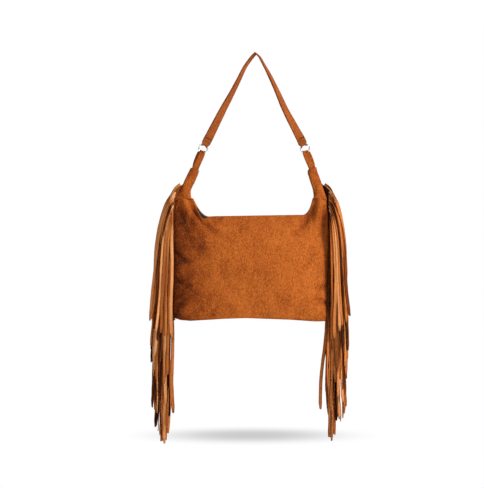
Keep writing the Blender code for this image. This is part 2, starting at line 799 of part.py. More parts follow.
def build():
    """Remove what the scene holds and model the bag."""
    for old in list(bpy.data.objects):
        bpy.data.objects.remove(old)
    strap_axis = add_empty("strap_axis", (0, 0, 0))
    make_strap(strap_axis)
    for label, side in SIDES:
        make_ring(f"{label}_ring", side, strap_axis)
    for label, face in FACES:
        make_panel(f"{label}_panel", face)
    make_base()
    make_lining()
    make_pocket()
    for label, side in SIDES:
        make_horn(f"{label}_horn", side)
        make_tab(f"{label}_tab", side, None)
        for row, face in FACES:
            make_fringe(f"{label}_fringe_{row}", side, face, None)
    make_zip(None)
    make_pull(make_slider(None))


build()
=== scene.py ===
"""Looks of the fringed suede shoulder bag: suede shell, strap, fringe, rings and zip."""

import math
import random

import bmesh
import bpy
from mathutils import Matrix, Vector, noise


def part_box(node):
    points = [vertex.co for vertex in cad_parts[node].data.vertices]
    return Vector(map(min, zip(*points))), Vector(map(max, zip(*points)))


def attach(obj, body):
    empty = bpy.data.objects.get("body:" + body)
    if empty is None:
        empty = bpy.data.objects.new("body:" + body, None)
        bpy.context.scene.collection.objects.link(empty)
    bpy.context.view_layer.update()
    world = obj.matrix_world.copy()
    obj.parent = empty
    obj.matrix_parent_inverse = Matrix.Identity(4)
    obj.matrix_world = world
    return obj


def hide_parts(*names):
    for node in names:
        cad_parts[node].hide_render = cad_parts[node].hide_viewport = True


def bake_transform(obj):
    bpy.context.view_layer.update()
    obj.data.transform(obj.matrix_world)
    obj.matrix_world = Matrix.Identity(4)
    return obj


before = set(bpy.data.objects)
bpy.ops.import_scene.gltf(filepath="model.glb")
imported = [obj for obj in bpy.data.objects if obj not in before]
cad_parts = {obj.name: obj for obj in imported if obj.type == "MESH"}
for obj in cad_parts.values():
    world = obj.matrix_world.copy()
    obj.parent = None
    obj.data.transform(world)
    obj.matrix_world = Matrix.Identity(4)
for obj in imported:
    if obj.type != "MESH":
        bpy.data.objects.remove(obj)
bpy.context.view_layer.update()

# The photograph's frame: its size, one pixel in metres and the pixel of the strap's bend
PHOTO_WIDTH, PHOTO_HEIGHT = 484, 488
PIXEL = 0.0022
BEND_PIXEL = (255.8, 55.0)

# Heights and spans read from the frame
BASE_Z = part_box("base_panel")[1][2]
NECK_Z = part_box("front_panel")[1][2]
SLIDER_HALF_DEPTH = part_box("zip_slider")[1][1]
FRINGE_TOP_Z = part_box("left_fringe_front")[1][2]
BODY_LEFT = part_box("front_panel")[0][0]
BODY_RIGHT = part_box("front_panel")[1][0]
BODY_MIDDLE = (BODY_LEFT + BODY_RIGHT) / 2
BODY_HALF_WIDTH = (BODY_RIGHT - BODY_LEFT) / 2
BASE_HALF_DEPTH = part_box("base_panel")[1][1]

# Suede and cloth, in metres; body first, then strap, stitches, rings and tabs
WALL = 0.0016
# Half depths of the closed body, how it bulges and sags, and how square its corners are
SEAM_HALF = 0.0021
MOUTH_HALF_DEPTH = 0.0066
NECK_HALF_DEPTH = 0.0085
NECK_MIDDLE, NECK_SPREAD = 0.90, 0.10
BELLY = 0.018
SAG = 1.5
BASE_SQUARENESS, SQUARENESS_LOST = 6.0, 3.4
EDGE_ROUNDNESS = 0.55
BASE_ROLL, ROLL_HEIGHT = 0.0028, 0.007
BASE_LIFT = 0.0014
EDGE_PACKING = 1.15
EDGE_RIPPLE = 0.0010
CLOTH_WALL = 0.0004
STRAP_WIDTH = 0.0195
STRAP_THICKNESS = 0.0030
APEX_TWIST = math.radians(14)
LOOP_WIDTH = 0.0148
LOOP_THICKNESS = 0.0014
LOOP_CLEARANCE = 0.0002
FLAP_SET = 0.0016
STRAP_WAVER = 0.0006
PLY = 0.0012
STITCH_PITCH = 0.0032
STITCH_LENGTH = 0.0024
THREAD_HALF = 0.00042
FLAP_STITCH_INSETS = (0.0020, 0.0075)
RING_WIRE = 0.0016
RING_RADIUS = 0.0095
TAB_WIDTH = 0.0138
TAB_FOLD_WIDTH = 0.0120
TAB_EYE_RADIUS = 0.0018
TAB_EYE_LIFT = 0.0002
PLY_HALF_GAP = 0.0011
BACK_PLY_SHIFT = 0.0046
FLAP_LENGTH = 0.0155

# Fringe
STRIPS = 38
STRIP_WIDTH = 0.0074
STRIP_LENGTH = 0.281
STRIP_THICKNESS = 0.0011
HEADER_DEPTH = 0.004
HEADER_FLAP = 0.010
HEADER_FAN = 0.018
HEADER_TUCK = 0.0018
HEADER_DROP = 0.003
HEADER_LIFT = 0.004
HEADER_SHARE = 0.7
ROOT_DEPTH = 0.0008
WALK_STEPS = 300
# For the left side (-1) and the right (1): pixel columns of the innermost and outermost strips,
# pixels by which the inner ones swing in, and how far the low strips draw back
FRINGE_SPAN = {-1: (173.2, 154.2), 1: (329.4, 346.0)}
INNER_SWING = {-1: 0.0, 1: 6.4}
NARROWING = {-1: 0.36, 1: 0.76}
FAN_STRIPS = 9
FAN_TURN = 0.92
OVER_BODY = 3.0
BODY_CLEARANCE = 0.0180
FRINGE_NEAR = 0.0020
FRINGE_HALF_DEPTH = 0.029
GOLDEN = 0.618
# Strips that hang clear of the rest: side, face and number, with the pixel column of each
STRAYS = {(1, -1, 27): 325.6}
STRAY_REACH = 0.0135
# How strips differ by chance: length, lean and curl in degrees, sway, waver and cut ends
LENGTH_SPREAD = (0.965, 1.03)
MOST_LEAN, MOST_CURL = 38, 70
SWAY, DEPTH_SWAY = 0.0024, 0.0026
STRIP_WAVER = 0.0007
STRIP_CUP = 0.0007
ROOT_PACKING = 1.35
CUT_SLANT = 0.004
TIP_NARROWING = 0.45
# Metres of drop in which strips fan out slowly, or for a share of the way quickly, and those in
# which they stand off and turn out of the seam
DROOP = {-1: 0.056, 1: 0.051}
QUICK_SHARE = {-1: 0.08, 1: 0.16}
QUICK_DROOP = 0.006
SPREAD = 0.012
TURN = 0.0175
# Share by which the lowest strips are shorter, and how far the topmost ones flare at the tips
LOW_TRIM = {-1: 0.010, 1: 0.045}
FLARE = {-1: 0.0185, 1: 0.0100}
# Tones of the strips, where more is darker. Painted shade darkens the right side, each strip's
# edges, strips hung deeper in, a share of dark strips and the header; the spread is random tone
SIDE_SHADE = {-1: -0.02, 1: 0.09}
EDGE_SHADE = 0.50
HIDDEN_SHADE = 0.20
SHADE_SPREAD = (-0.45, 0.25)
DARK_SHADE, LIGHT_SHADE = 0.78, -0.28
DARK_SHARE, FLIPPED_SHARE = 0.34, 0.18
HEADER_SHADE = 1.0

SIDES = (("left", -1), ("right", 1))
FACES = (("front", -1), ("back", 1))


def at_pixel(px, py, y=0.0):
    """A point of the part's frame from a pixel of the photograph."""
    return Vector(((px - BEND_PIXEL[0]) * PIXEL, y, (BEND_PIXEL[1] - py) * PIXEL))


def smooth_step(value, low, high):
    """0 below low, 1 above high and a smooth rise between."""
    t = min(max((value - low) / (high - low), 0.0), 1.0)
    return t * t * (3 - 2 * t)


def mix(a, b, t):
    """Straight blend from a to b."""
    return a + (b - a) * t


def along_points(points, t):
    """A smooth curve through points, at t from 0 to 1."""
    place = min(max(t, 0.0), 1.0) * (len(points) - 1)
    i = min(int(place), len(points) - 2)
    f = place - i
    p0 = points[max(i - 1, 0)]
    p1, p2 = points[i], points[i + 1]
    p3 = points[min(i + 2, len(points) - 1)]
    return (
        p1 * 2
        + (p2 - p0) * f
        + (p0 * 2 - p1 * 5 + p2 * 4 - p3) * f**2
        + (p1 * 3 - p0 - p2 * 3 + p3) * f**3
    ) * 0.5


def wave(point, scale, seed):
    """Smooth noise from -1 to 1 with lumps of a size in metres."""
    return noise.noise(point / scale + Vector((seed * 7.3, seed * 3.1, seed * 1.7)))


# Colours and materials


def linear(code):
    """Linear colour of an sRGB hex value."""
    parts = [int(code[i : i + 2], 16) / 255 for i in (1, 3, 5)]
    return [c / 12.92 if c <= 0.04045 else ((c + 0.055) / 1.055) ** 2.4 for c in parts] + [1.0]


def add(tree, kind, links=None, **settings):
    """A shader node of a kind, with its settings and its inputs: values, or sockets to link."""
    made = tree.nodes.new("ShaderNode" + kind)
    for key, value in settings.items():
        setattr(made, key, value)
    for key, value in (links or {}).items():
        if isinstance(value, bpy.types.NodeSocket):
            tree.links.new(value, made.inputs[key])
        else:
            made.inputs[key].default_value = value
    return made


def new_material(name, **sockets):
    """A material with a Principled shader and its plain socket values."""
    made = bpy.data.materials.new(name)
    made.use_nodes = True
    shader = made.node_tree.nodes["Principled BSDF"]
    for key, value in sockets.items():
        shader.inputs[key.replace("_", " ")].default_value = value
    return made, made.node_tree, shader


def cloudy(tree, coordinates, size, detail, low, high, seed=0.0):
    """Noise with lumps of a size in metres, stretched to 0 to 1 between two levels."""
    moved = add(tree, "Mapping", {"Vector": coordinates, "Location": (seed, seed, 0)})
    settings = {"Vector": moved.outputs[0], "Scale": 1 / size, "Detail": detail, "Roughness": 0.6}
    lumps = add(tree, "TexNoise", settings)
    return add(
        tree, "MapRange", {"Value": lumps.outputs[0], "From Min": low, "From Max": high}
    ).outputs[0]


def blend_colours(tree, share, first, second):
    """A colour between two others."""
    mixed = add(tree, "Mix", {"Factor": share}, data_type="RGBA")
    for socket, value in ((mixed.inputs[6], first), (mixed.inputs[7], second)):
        if isinstance(value, bpy.types.NodeSocket):
            tree.links.new(value, socket)
        else:
            socket.default_value = value
    return mixed.outputs[2]


def suede(name, colours, seed=0.0, sheen=0.16, mottle=1.0):
    """Napped suede, brushed calf split: no gloss, a soft sheen, and clouds where the nap lies in
    different directions. The nap itself is finer than a pixel, so it is drawn at about 2 mm.
    Four colours run from dark to light; the tone attribute, painted shade with some random tone,
    pulls the colour towards the dark ones."""
    made, tree, shader = new_material(
        name, Roughness=0.92, Sheen_Weight=sheen, Sheen_Roughness=0.4, Specular_IOR_Level=0.10
    )
    shader.inputs["Sheen Tint"].default_value = linear("#E89050")
    place = add(tree, "TexCoord").outputs["Object"]
    brushed = add(
        tree, "Mapping", {"Vector": place, "Rotation": (0, 0.5, 0), "Scale": (1, 1, 0.5)}
    ).outputs[0]
    share = 0.5
    for vector, size, detail, weight in (
        (place, 0.050, 2.0, 0.12),
        (brushed, 0.018, 4.0, 0.14),
        (place, 0.0060, 3.0, 0.15),
        (brushed, 0.0019, 2.0, 0.46),
    ):
        lumps = cloudy(tree, vector, size, detail, 0.25, 0.75, seed + size * 100)
        centred = add(tree, "Math", {0: lumps, 1: 0.5}, operation="SUBTRACT")
        share = add(
            tree, "Math", {0: centred.outputs[0], 1: weight * mottle, 2: share},
            operation="MULTIPLY_ADD",
        ).outputs[0]
    # The tone attribute darkens the colour: painted shade, with random tone on the horns and fringe
    shade = add(tree, "Attribute", attribute_name="tone").outputs["Fac"]
    shaded_share = add(tree, "Math", {0: shade, 1: -0.55, 2: share}, operation="MULTIPLY_ADD")
    ramp = add(tree, "ValToRGB", {"Fac": shaded_share.outputs[0]})
    stops = ramp.color_ramp.elements
    for position in NAP_STOPS[1:-1]:
        stops.new(position)
    for stop, position, colour in zip(stops, NAP_STOPS, colours):
        stop.position = position
        stop.color = linear(colour)
    tree.links.new(ramp.outputs["Color"], shader.inputs["Base Color"])
    bump = add(tree, "Bump", {"Height": share, "Strength": 0.6, "Distance": 0.0005})
    tree.links.new(bump.outputs[0], shader.inputs["Normal"])
    return made


def plated_metal(name, stretch, size, levels, colours, roughness):
    """Plated metal, its colour and roughness varied between two values in stretched lumps."""
    made, tree, shader = new_material(name, Metallic=1.0)
    place = add(tree, "TexCoord").outputs["Object"]
    pulled = add(tree, "Mapping", {"Vector": place, "Scale": stretch}).outputs[0]
    marks = cloudy(tree, pulled, size, 3.0, *levels)
    colour = blend_colours(tree, marks, linear(colours[0]), linear(colours[1]))
    tree.links.new(colour, shader.inputs["Base Color"])
    rough = add(
        tree, "MapRange", {"Value": marks, "To Min": roughness[0], "To Max": roughness[1]}
    ).outputs[0]
    tree.links.new(rough, shader.inputs["Roughness"])
    return made


def woven(name, dark, light, pitch, sheen):
    """Plain-woven cloth: threads over and under at a pitch in metres."""
    made, tree, shader = new_material(name, Roughness=0.8, Sheen_Weight=sheen)
    place = add(tree, "TexCoord").outputs["Object"]
    # A wave texture has a band every 0.314 of its scaled units
    settings = {"Vector": place, "Scale": 0.314 / pitch, "Distortion": 0.6}
    warp, weft = (
        add(tree, "TexWave", settings, bands_direction=direction).outputs["Fac"]
        for direction in ("X", "Z")
    )
    over = add(tree, "Math", {0: warp, 1: weft}, operation="MULTIPLY")
    colour = blend_colours(tree, over.outputs[0], linear(dark), linear(light))
    tree.links.new(colour, shader.inputs["Base Color"])
    bump = add(tree, "Bump", {"Height": over.outputs[0], "Strength": 0.4, "Distance": 0.0002})
    tree.links.new(bump.outputs[0], shader.inputs["Normal"])
    return made


# Places of the four colours on each suede's ramp
NAP_STOPS = (0.0, 0.32, 0.60, 0.95)
# The darkest colours of each ramp are reached mostly through the tone attribute's painted shade
SUEDE = suede("tan_suede_nap", ("#431A0A", "#944616", "#C26828", "#DC8A40"))
SUEDE_STRAP = suede("strap_suede_nap", ("#43190A", "#88421C", "#AE5E28", "#CC7A3A"), 5.0)
SUEDE_REVERSE = suede("suede_flesh_side", ("#7A4018", "#B87040", "#DC9A60", "#F0BA86"), 2.0)
SUEDE_EDGE = suede("cut_suede_edge", ("#5A2A10", "#A85C28", "#C88440", "#E8A868"), 9.0)
# The fringe's near-black colour is painted shade in the gaps between strips
STRIP_FACE = suede(
    "fringe_suede_nap", ("#1C0904", "#94461A", "#CE7A3A", "#ECAA70"), 4.0, sheen=0.08, mottle=0.45
)
# Polished nickel plate on steel wire: bright, slightly warm, with a trace of handling
NICKEL = plated_metal(
    "polished_nickel", (1, 1, 1), 0.004, (0.2, 0.8), ("#D6D5D2", "#F2F1EE"), (0.10, 0.20)
)
# Die-cast zinc with a dull nickel finish, brushed along the zip
ZIP_METAL = plated_metal(
    "brushed_zip_metal", (0.1, 1, 1), 0.0006, (0.3, 0.7), ("#8D8B88", "#B4B2AE"), (0.28, 0.42)
)
ZIP_TAPE = woven("woven_zip_tape", "#0A1214", "#1C2A2E", 0.0009, 0.1)
LINING = woven("lining_twill", "#10161A", "#26302F", 0.0008, 0.2)
THREAD = woven("brown_polyester_thread", "#2A1006", "#5A280E", 0.0006, 0.1)


# Meshes


def sheet_mesh(across, up, place):
    """A grid of quads, each point moved by place(u, v) with u and v from 0 to 1."""
    bm = bmesh.new()
    bmesh.ops.create_grid(bm, x_segments=across, y_segments=up, size=1.0)
    for vert in bm.verts:
        vert.co = place((vert.co.x + 1) / 2, (vert.co.y + 1) / 2)
    return bm


def new_object(name, bm):
    """An object in the scene with the mesh of bm, which is used up."""
    mesh = bpy.data.meshes.new(name)
    bm.to_mesh(mesh)
    bm.free()
    made = bpy.data.objects.new(name, mesh)
    bpy.context.scene.collection.objects.link(made)
    return made


def finish_piece(
    name, bm, materials, body, nodes=(), wall=None, facing=None, edge=0, even=True
):
    """Make the piece, give it its wall and materials, and say what it rides on and replaces."""
    bmesh.ops.remove_doubles(bm, verts=bm.verts, dist=1e-6)
    bm.normal_update()
    if facing:
        toward = sum(f.calc_area() * f.normal.dot(facing(f.calc_center_median())) for f in bm.faces)
        if toward < 0:
            bmesh.ops.reverse_faces(bm, faces=bm.faces)
    piece = new_object(name, bm)
    piece.data.shade_smooth()
    for material in materials:
        piece.data.materials.append(material)
    if wall:
        thick = piece.modifiers.new("wall", "SOLIDIFY")
        thick.thickness = wall
        thick.offset = -1.0 if facing else 0.0
        thick.use_even_offset = even
        thick.material_offset = min(1, len(materials) - 1)
        thick.material_offset_rim = edge
    if body:
        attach(piece, body)
    if nodes:
        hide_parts(*nodes)
    return piece


# Body outline, from the photograph's edges

LEFT_EDGE = [
    at_pixel(*p)
    for p in ((176.4, 198.3), (174.6, 212), (173.2, 228), (172.2, 250), (171.9, 275), (172.0, 300),
              (172.6, 314), (174.5, 319.6))
]
RIGHT_EDGE = [
    at_pixel(*p)
    for p in ((326.0, 198.3), (327.6, 212), (328.4, 228), (329.0, 250), (329.3, 275), (330.2, 300),
              (331.6, 314), (331.2, 319.6))
]
MOUTH_LEFT, MOUTH_RIGHT = at_pixel(209.0, 216.3), at_pixel(301, 214.8)
NECK_LEFT, NECK_RIGHT = at_pixel(193.2, 198.3), at_pixel(312.6, 198.3)
LOWER_EDGE = [
    at_pixel(*p)
    for p in ((171.6, 315.2), (175.6, 318.2), (181, 319.7), (191, 320.4), (225, 318.2), (246, 317.5),
              (290, 319.2), (314, 321.0), (324.0, 320.9), (329.6, 319.3), (332.2, 315.2))
]
NECK_SWEEP = {"left": 2.0, "right": 3.1}


def edge_x(points, z):
    """Where an outline lies at a height; its points run from the neck down."""
    count = len(points) - 1
    if z >= points[0].z:
        return points[0].x
    for i in range(count):
        if z >= points[i + 1].z:
            share = (points[i].z - z) / (points[i].z - points[i + 1].z)
            return along_points(points, (i + share) / count).x
    return points[-1].x


def front_dip(x):
    """How far the front's edge hangs below the back's beside the mouth's ends."""
    left = math.exp(-(((x - MOUTH_LEFT.x + 0.017) / 0.013) ** 2))
    right = math.exp(-(((x - MOUTH_RIGHT.x - 0.018) / 0.010) ** 2))
    return 0.0105 * left + 0.0045 * right


def top_z(x, face):
    """Top edge of a panel: mouth, inner curves and necks."""
    return back_top_z(x) - (front_dip(x) if face < 0 else 0.0)


def back_top_z(x):
    """Top edge of the back panel."""
    if x < MOUTH_LEFT.x:
        q = min((MOUTH_LEFT.x - x) / (MOUTH_LEFT.x - NECK_LEFT.x), 1.0)
        return mix(MOUTH_LEFT.z, NECK_Z, q ** NECK_SWEEP["left"])
    if x > MOUTH_RIGHT.x:
        q = min((x - MOUTH_RIGHT.x) / (NECK_RIGHT.x - MOUTH_RIGHT.x), 1.0)
        return mix(MOUTH_RIGHT.z, NECK_Z, q ** NECK_SWEEP["right"])
    return mix(MOUTH_LEFT.z, MOUTH_RIGHT.z, (x - MOUTH_LEFT.x) / (MOUTH_RIGHT.x - MOUTH_LEFT.x))


def base_z(x):
    """Lower edge of the panels, which lifts between its rounded corners."""
    if x <= LOWER_EDGE[0].x:
        return LOWER_EDGE[0].z
    for a, b in zip(LOWER_EDGE, LOWER_EDGE[1:]):
        if x <= b.x:
            return mix(a.z, b.z, (x - a.x) / (b.x - a.x))
    return LOWER_EDGE[-1].z


def half_depth(u, z):
    """Half depth of the closed body at a share of its half width and a height."""
    u = min(abs(u), 1.0)
    mouth_z = (MOUTH_LEFT.z + MOUTH_RIGHT.z) / 2
    height = mouth_z - BASE_Z
    h = min(max((z - BASE_Z) / height, 0.0), 1.0)
    sagging = BASE_HALF_DEPTH + (MOUTH_HALF_DEPTH - BASE_HALF_DEPTH) * h**SAG
    middle = sagging + BELLY * math.sin(math.pi * h) - SEAM_HALF
    squareness = BASE_SQUARENESS - SQUARENESS_LOST * smooth_step(h, 0.0, 0.35)
    body = middle * (1 - u**squareness) ** EDGE_ROUNDNESS
    roll = BASE_ROLL * (1 - smooth_step(z, BASE_Z, BASE_Z + ROLL_HEIGHT)) * (1 - u**8)
    offset = min(abs(u - NECK_MIDDLE) / NECK_SPREAD, 1.0)
    neck = (NECK_HALF_DEPTH - SEAM_HALF) * math.sqrt(1 - offset**2)
    rising = smooth_step(z, mouth_z - 0.045, NECK_Z) * smooth_step(u, 0.66, 0.80)
    return SEAM_HALF + (body - roll) * (1 - rising) + neck * rising


# Creases of the front: pixels along each, width and depth in metres, negative for a ridge
FRONT_CREASES = (
    (((189, 199), (193, 209), (200, 220), (212, 230), (226, 238)), 0.0040, 0.0042),
    (((184, 200), (190, 214), (201, 228), (214, 240)), 0.0065, -0.0034),
    (((179, 204), (182, 222), (190, 240), (202, 256)), 0.0060, 0.0024),
    (((197, 210), (205, 221), (219, 228)), 0.0045, -0.0024),
    (((315, 200), (311, 213), (304, 226), (292, 236)), 0.0042, 0.0040),
    (((320, 201), (317, 218), (309, 234), (298, 246)), 0.0065, -0.0032),
    (((324, 206), (322, 226), (316, 246)), 0.0055, 0.0022),
    (((172, 250), (180, 257), (190, 264)), 0.0038, 0.0026),
    (((172, 268), (182, 271), (192, 270)), 0.0050, -0.0016),
    (((172, 276), (179, 281), (188, 285)), 0.0036, 0.0026),
    (((172, 298), (179, 297), (187, 294)), 0.0036, 0.0024),
    (((176, 308), (185, 302), (197, 294)), 0.0042, 0.0028),
    (((178, 316), (190, 309), (206, 305)), 0.0050, -0.0016),
    (((330, 284), (322, 287), (312, 287)), 0.0040, 0.0020),
    (((331, 304), (322, 301), (310, 299)), 0.0044, 0.0024),
    (((326, 316), (316, 309), (303, 306)), 0.0048, -0.0014),
)
BACK_CREASES = (
    (((190, 200), (196, 214), (208, 226), (224, 234)), 0.0045, 0.0038),
    (((182, 204), (188, 224), (200, 244)), 0.0060, 0.0024),
    (((314, 200), (309, 214), (298, 228), (282, 238)), 0.0045, 0.0038),
    (((322, 204), (318, 226), (306, 246)), 0.0060, 0.0024),
    (((172, 262), (184, 268), (198, 270)), 0.0042, 0.0024),
    (((172, 292), (186, 294), (200, 300)), 0.0042, 0.0024),
    (((330, 258), (318, 266), (304, 268)), 0.0042, 0.0024),
    (((331, 296), (318, 296), (302, 302)), 0.0042, 0.0024),
)
CREASE_STRENGTH = 1.7
# Slack of the panels: heights and sizes of the swells, in metres
PANEL_SLACK = ((0.0016, 0.055), (0.0007, 0.019), (0.00025, 0.007))


def crease_depth(x, z, creases):
    """How far the creases push the suede in at a place."""
    here = Vector((x, z))
    total = 0.0
    for pixels, width, depth in creases:
        points = [at_pixel(*p) for p in pixels]
        best, share = 1.0, 0.0
        for i in range(len(points) - 1):
            a = Vector((points[i].x, points[i].z))
            b = Vector((points[i + 1].x, points[i + 1].z))
            t = min(max((here - a).dot(b - a) / (b - a).length_squared, 0.0), 1.0)
            gap = (here - a.lerp(b, t)).length
            if gap < best:
                best, share = gap, (i + t) / (len(points) - 1)
        if best < 4 * width:
            fade = 1 - 0.85 * share**1.5
            spread = width * (1 + 1.2 * share)
            total += CREASE_STRENGTH * depth * fade * math.exp(-((best / spread) ** 2))
    return total


def panel_place(face, creases, seed):
    """Where each point of a panel lies, with its creases and slack."""

    def place(s, v):
        u = math.copysign(1 - (1 - abs(2 * s - 1)) ** EDGE_PACKING, 2 * s - 1)
        z = BASE_Z
        x = 0.0
        for _ in range(4):
            left, right = edge_x(LEFT_EDGE, z), edge_x(RIGHT_EDGE, z)
            x = mix(left, right, (u + 1) / 2)
            z = mix(base_z(x), top_z(x, face), v)
        deep = half_depth(u, z)
        inner = smooth_step(1 - abs(u), 0.0, 0.08) * smooth_step(v, 0.0, 0.05)
        inner *= 1 - 0.85 * smooth_step(v, 0.93, 1.0)
        spot = Vector((x, face * 0.3, z))
        slack = sum(
            height * wave(spot, size, seed + i) for i, (height, size) in enumerate(PANEL_SLACK)
        )
        deep += slack * inner - crease_depth(x, z, creases) * max(inner, 0.25)
        ripple = EDGE_RIPPLE * wave(Vector((x, 0, z)), 0.013, seed + 5)
        ripple *= 1 - smooth_step(1 - abs(u), 0, 0.04)
        return Vector((x + ripple, face * max(deep, SEAM_HALF), z))

    return place


# Painted shade of the panels: pixel columns between which it fades, heights, and tone a metre of
# crease
LEFT_SHADE, LEFT_SEAM_SHADE, RIGHT_SEAM_SHADE = (168, 238), (171, 186), (316, 329)
NECK_FADE, FOLD_FADE = (-0.355, -0.325), (-0.350, -0.325)
FOLD_SHADE, DEEPEST_FOLD_SHADE = 95.0, 0.42


def painted_panel_shade(point, creases):
    """Painted shade of a panel: darker beside the left seam, at the edges, near the mouth's height
    and in folds, broken by random clouds, and less so on the necks."""
    px = point.x / PIXEL + BEND_PIXEL[0]
    cloud = 0.5 + 0.6 * wave(point, 0.030, 8) + 0.3 * wave(point, 0.012, 9)
    left = (1 - smooth_step(px, *LEFT_SHADE)) * (0.32 + 0.38 * cloud)
    edge = 0.25 * (1 - smooth_step(px, *LEFT_SEAM_SHADE))
    edge += 0.10 * smooth_step(px, *RIGHT_SEAM_SHADE)
    mouth = 0.14 * (1 - smooth_step(abs(point.z - MOUTH_LEFT.z), 0.0, 0.030))
    left *= 1 - 0.75 * smooth_step(point.z, *NECK_FADE)
    fold = min(FOLD_SHADE * max(crease_depth(point.x, point.z, creases), 0.0), DEEPEST_FOLD_SHADE)
    fold *= 1 - 0.5 * smooth_step(point.z, *FOLD_FADE)
    shade = left + edge + mouth + fold + 0.22 * smooth_step(cloud, 0.6, 1.1)
    return min(max(shade, 0.0), 0.8)


def make_panels():
    """Front and back of the body: one sagging shell, sewn at the sides and the base."""
    for label, face in FACES:
        creases = FRONT_CREASES if face < 0 else BACK_CREASES
        bm = sheet_mesh(170, 120, panel_place(face, creases, 1 + face))
        tone = bm.verts.layers.float.new("tone")
        # Each point's tone is painted shade
        for vert in bm.verts:
            vert[tone] = painted_panel_shade(vert.co, creases)
        piece = finish_piece(
            f"{label}_suede", bm, [SUEDE, SUEDE_REVERSE, SUEDE_EDGE], "bag",
            [f"{label}_panel"], wall=WALL, facing=lambda c, face=face: Vector((0, face, 0)), edge=2,
        )


def make_base():
    """Base panel: an oval of suede, arched with the lower edges."""

    def place(s, t):
        u = math.sin(math.pi * (s - 0.5))
        x = mix(edge_x(LEFT_EDGE, BASE_Z), edge_x(RIGHT_EDGE, BASE_Z), (u + 1) / 2)
        deep = max(half_depth(u, BASE_Z) - 0.0002, 0.0005)
        sag = 0.0006 * wave(Vector((x, t * 0.05, 0)), 0.03, 3)
        return Vector((x, deep * (2 * t - 1), base_z(x) + BASE_LIFT + sag))

    bm = sheet_mesh(90, 16, place)
    finish_piece(
        "base_suede", bm, [SUEDE, SUEDE_REVERSE, SUEDE_EDGE], "bag", ["base_panel"],
        wall=WALL, facing=lambda c: Vector((0, 0, -1)), edge=2,
    )


# Horns: pixels of the outer and the inner edge from the top down
HORN_EDGES = {
    "left": (
        ((190.6, 167.6), (187.8, 174), (183.6, 182.4), (180.0, 190), (177.2, 196.0), (175.8, 200.8)),
        ((199.2, 170.6), (198.4, 174), (194.6, 182.5), (190.8, 190), (191.2, 195.5), (192.6, 199.8)),
    ),
    "right": (
        ((316.6, 167.2), (318.2, 174), (321.4, 182), (324.2, 190), (325.8, 196.0), (326.8, 200.6)),
        ((308.2, 169.6), (307.6, 174), (310.8, 183), (313.0, 190), (313.2, 195.5), (312.4, 199.8)),
    ),
}
HORN_TOP_HALF_DEPTH = 0.0052
HORN_LIP = 0.0006
HORN_ARCH = 0.0032
# Tone of the horns' rims: painted shade along the hem
HORN_RIM_SHADE = 1.1


def make_horns():
    """Rolled suede sleeves that close the necks, gathered where the tab goes in."""
    for label, side in SIDES:
        outer, inner = ([at_pixel(*p) for p in edge] for edge in HORN_EDGES[label])

        def place(s, v, outer=outer, inner=inner, side=side):
            t = 1 - v
            out, near = along_points(outer, t), along_points(inner, t)
            centre, half = (out + near) / 2, (out - near).length / 2
            across = (out - near).normalized()
            angle = 2 * math.pi * s
            c, r = math.cos(angle), math.sin(angle)
            deep = mix(HORN_TOP_HALF_DEPTH, NECK_HALF_DEPTH + 0.0008, smooth_step(t, 0.0, 0.9))
            fold = 0.0007 * math.sin(3 * angle + 9 * t) * smooth_step(t, 0.0, 0.4)
            fold += 0.0005 * wave(Vector((c, r, t * 3)), 0.6, side + 4)
            swell = fold + HORN_LIP * smooth_step(t, 0.90, 1.0)
            arch = Vector((0, 0, HORN_ARCH * r**2 * smooth_step(t, 0.85, 1.0)))
            outwards = across * (c * (half + swell)) + Vector((0, r * (deep + swell), 0))
            return arch + centre + outwards

        bm = sheet_mesh(48, 44, place)
        tone = bm.verts.layers.float.new("tone")
        for vert in bm.verts:
            # Random tone on the sleeve, and painted shade on its rims
            turned = smooth_step(wave(vert.co, 0.020, 12), -0.5, 0.7)
            vert[tone] = 0.06 + 0.22 * turned + (HORN_RIM_SHADE if vert.is_boundary else 0.0)
        centre_line = [(a + b) / 2 for a, b in zip(outer, inner)]

        def away(point, line=centre_line):
            nearest = min(line, key=lambda p: (p - point).length)
            return (point - nearest).normalized()

        # The rims take the darker strap suede, as painted shade along the hem
        finish_piece(
            f"{label}_horn_suede", bm, [SUEDE, SUEDE_REVERSE, SUEDE_STRAP], "bag",
            [f"{label}_horn"], wall=WALL, facing=away, edge=2,
        )


# Strap: pixels down each leg from beside the bend to above the ring
STRAP_LEGS = {
    "left": ((251.6, 57.6), (244.7, 67.6), (238.0, 81.3), (230.4, 96), (223.4, 109), (214.7, 126),
             (209.0, 137.3), (205.6, 142.4)),
    "right": ((259.8, 57.2), (264.6, 66.0), (269.2, 74.6), (277.4, 91.9), (285.0, 109.2),
              (293.9, 126.2), (300.2, 138), (303.0, 142.6)),
}
BEND_TOP = (255.8, 53.1)
# Tones of the bands, more being darker: the band, its long edges, the flaps' ends and the tabs'
# ends; the darker edges and ends are painted shade
BAND_TONE, BAND_EDGE_TONE, FLAP_END_TONE, TAB_END_TONE = 0.12, 0.45, 1.2, 0.55
SOFT_EDGE = 0.0004
# Distances from a ring's middle between which the strap thickens from loop to full
THIN_TO, FULL_FROM = 0.0115, 0.0170
TWIST_SWEEP = 1.6


def ring_centre(side):
    """Middle of a ring, from the frame."""
    low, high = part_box("left_ring" if side < 0 else "right_ring")
    return Vector(((low[0] + high[0]) / 2, 0, (low[2] + high[2]) / 2))


def strap_end(label, side):
    """Middle of a ring, the way its strap pulls, the way across that, and the wire pulled on."""
    ring = ring_centre(side)
    pull = (at_pixel(*STRAP_LEGS[label][-2]) - ring).normalized()
    return ring, pull, Vector((pull.z, 0, -pull.x)), ring + pull * RING_RADIUS


def fold_round(eye, pull, face, reach):
    """Half turn round the wire at eye, from its face side to the other, open towards pull."""
    points = []
    steps = 10
    for i in range(steps + 1):
        angle = math.pi * i / steps
        points.append(
            eye + Vector((0, face * reach * math.cos(angle), 0)) - pull * (reach * math.sin(angle))
        )
    return points


